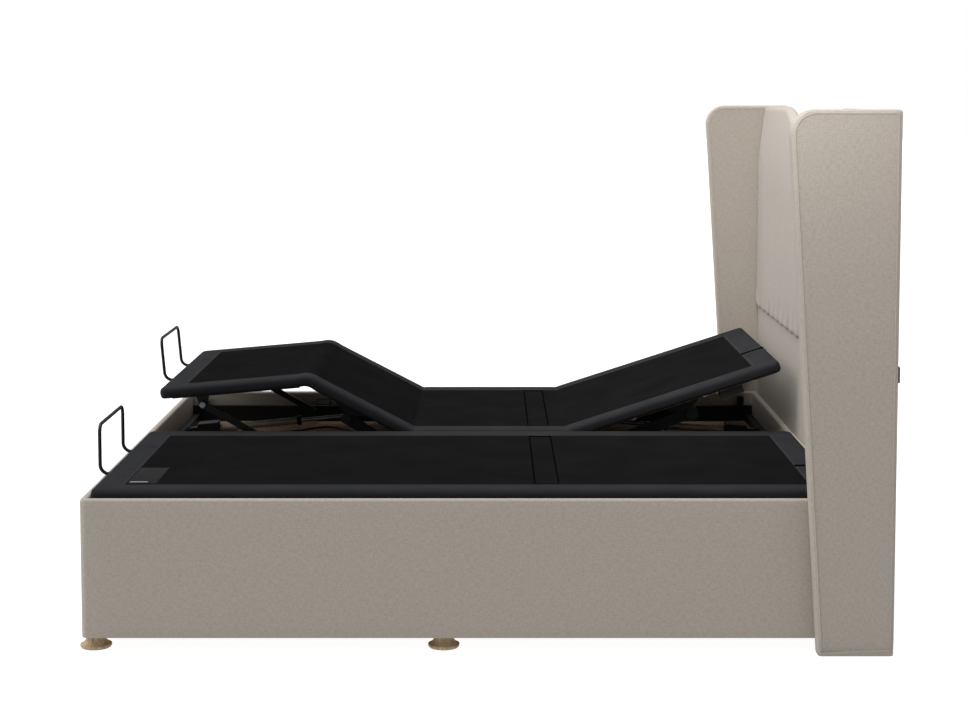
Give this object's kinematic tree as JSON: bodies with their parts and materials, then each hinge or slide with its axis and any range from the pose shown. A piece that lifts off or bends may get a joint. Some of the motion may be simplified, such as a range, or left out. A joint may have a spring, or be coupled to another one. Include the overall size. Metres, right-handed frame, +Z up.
{
  "type": "adjustable bed base",
  "caption": "Twin adjustable bed base with powered head and leg sections on two platforms, inside an upholstered surround with a winged headboard.",
  "frame": {"origin": "on the floor, in the middle of the whole bed's footprint", "axes": "+X towards the headboard, +Y from the flat near platform to the raised far platform, +Z up"},
  "size_m": [2.163, 1.954, 1.435],
  "materials": {
    "upholstery": "woven beige furniture fabric",
    "deck_cover": "charcoal deck fabric with a black non-slip mat",
    "black_steel": "black powder coat",
    "zinc_steel": "zinc-plated steel",
    "actuator_grey": "silver-grey painted actuator",
    "chipboard": "brown chipboard",
    "timber": "sawn softwood",
    "glide_wood": "turned light wood",
    "black_plastic": "moulded black plastic",
    "cable_sheath": "black PVC"
  },
  "bodies": {
    "base": {"near_side_panel": "upholstery", "far_side_panel": "upholstery", "foot_panel": "upholstery", "head_panel": "upholstery", "headboard_lower_panel": "upholstery", "headboard_pad": "upholstery", "near_wing": "upholstery", "far_wing": "upholstery", "floor_board": "chipboard", "timber_underframe": "timber", "glide_feet": "glide_wood", "headboard_frame": "timber", "headboard_bolts": "zinc_steel", "rear_bumpers": "black_plastic", "near_seat_deck": "deck_cover", "near_base_frame": "black_steel", "near_seat_hinges": "zinc_steel", "near_control_box": "black_plastic", "near_leg_cable": "cable_sheath", "near_head_cable": "cable_sheath", "far_seat_deck": "deck_cover", "far_base_frame": "black_steel", "far_seat_hinges": "zinc_steel", "far_control_box": "black_plastic", "far_leg_cable": "cable_sheath", "far_head_cable": "cable_sheath"},
    "near_head": {"near_head_deck": "deck_cover", "near_head_frame": "black_steel", "near_socket_box": "black_plastic"},
    "near_thigh": {"near_thigh_deck": "deck_cover", "near_thigh_frame": "black_steel", "near_knee_hinges": "zinc_steel"},
    "near_calf": {"near_calf_deck": "deck_cover", "near_calf_frame": "black_steel", "near_link_bolts": "zinc_steel", "near_retainer_bar": "black_steel"},
    "near_head_lift": {"near_head_lift": "black_steel"},
    "near_leg_lift": {"near_leg_lift": "black_steel"},
    "near_calf_links": {"near_calf_links": "black_steel"},
    "near_head_motor": {"near_head_motor": "actuator_grey"},
    "near_head_rod": {"near_head_rod": "zinc_steel"},
    "near_leg_motor": {"near_leg_motor": "actuator_grey"},
    "near_leg_rod": {"near_leg_rod": "zinc_steel"},
    "far_head": {"far_head_deck": "deck_cover", "far_head_frame": "black_steel", "far_socket_box": "black_plastic"},
    "far_thigh": {"far_thigh_deck": "deck_cover", "far_thigh_frame": "black_steel", "far_knee_hinges": "zinc_steel"},
    "far_calf": {"far_calf_deck": "deck_cover", "far_calf_frame": "black_steel", "far_link_bolts": "zinc_steel", "far_retainer_bar": "black_steel"},
    "far_head_lift": {"far_head_lift": "black_steel"},
    "far_leg_lift": {"far_leg_lift": "black_steel"},
    "far_calf_links": {"far_calf_links": "black_steel"},
    "far_head_motor": {"far_head_motor": "actuator_grey"},
    "far_head_rod": {"far_head_rod": "zinc_steel"},
    "far_leg_motor": {"far_leg_motor": "actuator_grey"},
    "far_leg_rod": {"far_leg_rod": "zinc_steel"}
  },
  "joints": [
    {"name": "near_head_tilt", "type": "hinge", "parent": "base", "child": "near_head", "pos_m": [0.248, -0.455, 0.424], "axis": [0, -1, 0], "range_deg": [0, 60]},
    {"name": "near_thigh_tilt", "type": "hinge", "parent": "base", "child": "near_thigh", "pos_m": [-0.228, -0.455, 0.424], "axis": [0, 1, 0], "range_deg": [0, 35]},
    {"name": "near_knee_bend", "type": "hinge", "parent": "near_thigh", "child": "near_calf", "pos_m": [-0.588, -0.455, 0.4], "axis": [0, -1, 0], "range_deg": [0, 41.3]},
    {"name": "near_link_swing", "type": "hinge", "parent": "base", "child": "near_calf_links", "pos_m": [-0.612, -0.455, 0.347], "axis": [0, 1, 0], "range_deg": [0, 33.7]},
    {"name": "near_head_lift_turn", "type": "hinge", "parent": "base", "child": "near_head_lift", "pos_m": [0.301, -0.455, 0.336], "axis": [0, -1, 0], "range_deg": [0, 60]},
    {"name": "near_leg_lift_turn", "type": "hinge", "parent": "base", "child": "near_leg_lift", "pos_m": [-0.268, -0.455, 0.336], "axis": [0, 1, 0], "range_deg": [0, 35]},
    {"name": "near_leg_motor_tilt", "type": "hinge", "parent": "base", "child": "near_leg_motor", "pos_m": [-1.005, -0.355, 0.331], "axis": [0, -1, 0], "range_deg": [0, 2]},
    {"name": "near_leg_rod_slide", "type": "slide", "parent": "near_leg_motor", "child": "near_leg_rod", "axis": [0.9977, 0, 0.0675], "range_m": [0, 0.0348]},
    {"name": "near_head_motor_tilt", "type": "hinge", "parent": "base", "child": "near_head_motor", "pos_m": [0.9, -0.415, 0.338], "axis": [0, 1, 0], "range_deg": [0, 0.75]},
    {"name": "near_head_rod_slide", "type": "slide", "parent": "near_head_motor", "child": "near_head_rod", "axis": [-0.998, 0, 0.0628], "range_m": [0, 0.0471]},
    {"name": "far_head_tilt", "type": "hinge", "parent": "base", "child": "far_head", "pos_m": [0.248, 0.455, 0.424], "axis": [0, -1, 0], "range_deg": [-18, 42]},
    {"name": "far_thigh_tilt", "type": "hinge", "parent": "base", "child": "far_thigh", "pos_m": [-0.228, 0.455, 0.424], "axis": [0, 1, 0], "range_deg": [-27.5, 7.5]},
    {"name": "far_knee_bend", "type": "hinge", "parent": "far_thigh", "child": "far_calf", "pos_m": [-0.55841, 0.455, 0.56894], "axis": [0, -1, 0], "range_deg": [-32.45, 8.85]},
    {"name": "far_link_swing", "type": "hinge", "parent": "base", "child": "far_calf_links", "pos_m": [-0.612, 0.455, 0.347], "axis": [0, 1, 0], "range_deg": [-26.48, 7.22]},
    {"name": "far_head_lift_turn", "type": "hinge", "parent": "base", "child": "far_head_lift", "pos_m": [0.301, 0.455, 0.336], "axis": [0, -1, 0], "range_deg": [-18, 42]},
    {"name": "far_leg_lift_turn", "type": "hinge", "parent": "base", "child": "far_leg_lift", "pos_m": [-0.268, 0.455, 0.336], "axis": [0, 1, 0], "range_deg": [-27.5, 7.5]},
    {"name": "far_leg_motor_tilt", "type": "hinge", "parent": "base", "child": "far_leg_motor", "pos_m": [-1.005, 0.555, 0.331], "axis": [0, -1, 0], "range_deg": [-1.42, 0.39]},
    {"name": "far_leg_rod_slide", "type": "slide", "parent": "far_leg_motor", "child": "far_leg_rod", "axis": [0.9954, 0, 0.0953], "range_m": [-0.028, 0.0077]},
    {"name": "far_head_motor_tilt", "type": "hinge", "parent": "base", "child": "far_head_motor", "pos_m": [0.9, 0.495, 0.338], "axis": [0, 1, 0], "range_deg": [-0.09, 0.21]},
    {"name": "far_head_rod_slide", "type": "slide", "parent": "far_head_motor", "child": "far_head_rod", "axis": [-0.9973, 0, 0.0738], "range_m": [-0.0145, 0.0337]}
  ],
  "couplings": [
    {"joint": "near_knee_bend", "follows": "near_thigh_tilt", "ratio": 1.18},
    {"joint": "near_link_swing", "follows": "near_thigh_tilt", "ratio": 0.963},
    {"joint": "near_leg_lift_turn", "follows": "near_thigh_tilt", "ratio": 1},
    {"joint": "near_head_lift_turn", "follows": "near_head_tilt", "ratio": 1},
    {"joint": "near_leg_motor_tilt", "follows": "near_thigh_tilt", "ratio": 0.057},
    {"joint": "near_leg_rod_slide", "follows": "near_thigh_tilt", "m_per_rad": 0.05677},
    {"joint": "near_head_motor_tilt", "follows": "near_head_tilt", "ratio": 0.0125},
    {"joint": "near_head_rod_slide", "follows": "near_head_tilt", "m_per_rad": 0.04486},
    {"joint": "far_knee_bend", "follows": "far_thigh_tilt", "ratio": 1.18},
    {"joint": "far_link_swing", "follows": "far_thigh_tilt", "ratio": 0.963},
    {"joint": "far_leg_lift_turn", "follows": "far_thigh_tilt", "ratio": 1},
    {"joint": "far_head_lift_turn", "follows": "far_head_tilt", "ratio": 1},
    {"joint": "far_leg_motor_tilt", "follows": "far_thigh_tilt", "ratio": 0.0515},
    {"joint": "far_leg_rod_slide", "follows": "far_thigh_tilt", "m_per_rad": 0.05812},
    {"joint": "far_head_motor_tilt", "follows": "far_head_tilt", "ratio": 0.005},
    {"joint": "far_head_rod_slide", "follows": "far_head_tilt", "m_per_rad": 0.0459}
  ]
}
